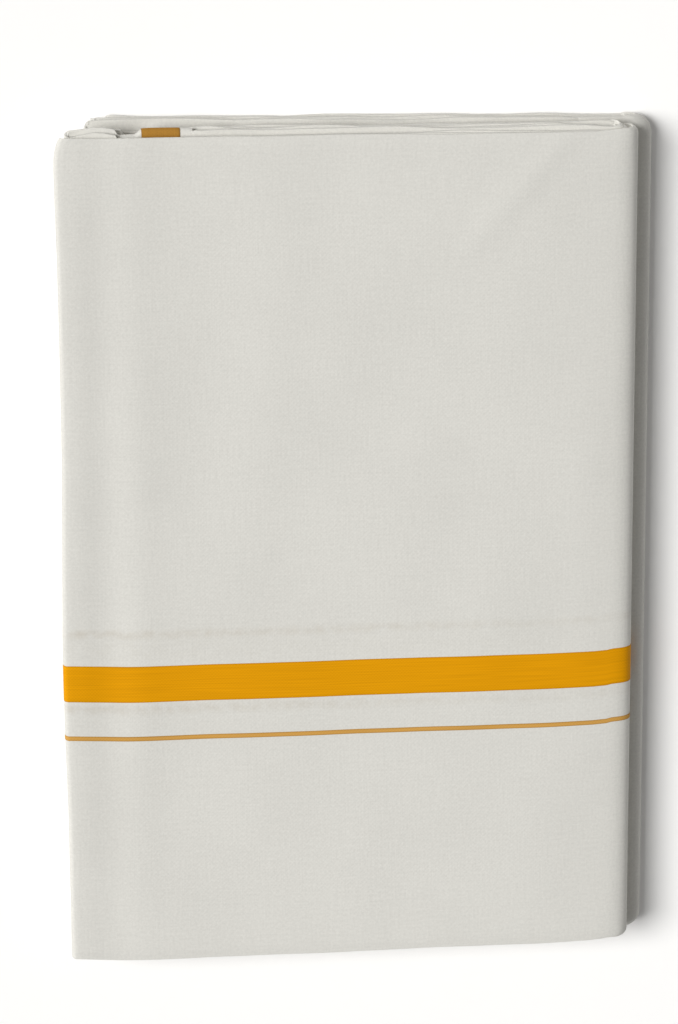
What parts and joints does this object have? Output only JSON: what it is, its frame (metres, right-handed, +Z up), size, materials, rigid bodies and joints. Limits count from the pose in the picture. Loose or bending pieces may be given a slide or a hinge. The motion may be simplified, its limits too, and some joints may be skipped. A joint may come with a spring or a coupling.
{
  "type": "folded dhoti cloth",
  "caption": "White cotton dhoti with a golden woven border, folded into a flat oblong packet with layered edges and rounded folds.",
  "frame": {"origin": "centre of the packet's underside, on the table, in the middle of its bounding box", "axes": "+Z up from the table out of the front face, +Y from the edge nearest the border towards the far edge, +X towards the rounded folds"},
  "size_m": [0.226, 0.3231, 0.0303],
  "materials": {
    "cotton": "plain woven bleached cotton, matt",
    "gold_border": "ribbed border woven in golden yellow yarn, slightly lustrous"
  },
  "bodies": {
    "root": {"front_turn": "cotton", "back_turn": "cotton", "folded_layers": "cotton", "border_band": "gold_border", "border_line": "gold_border", "end_turn": "cotton", "end_band": "gold_border"}
  },
  "joints": []
}
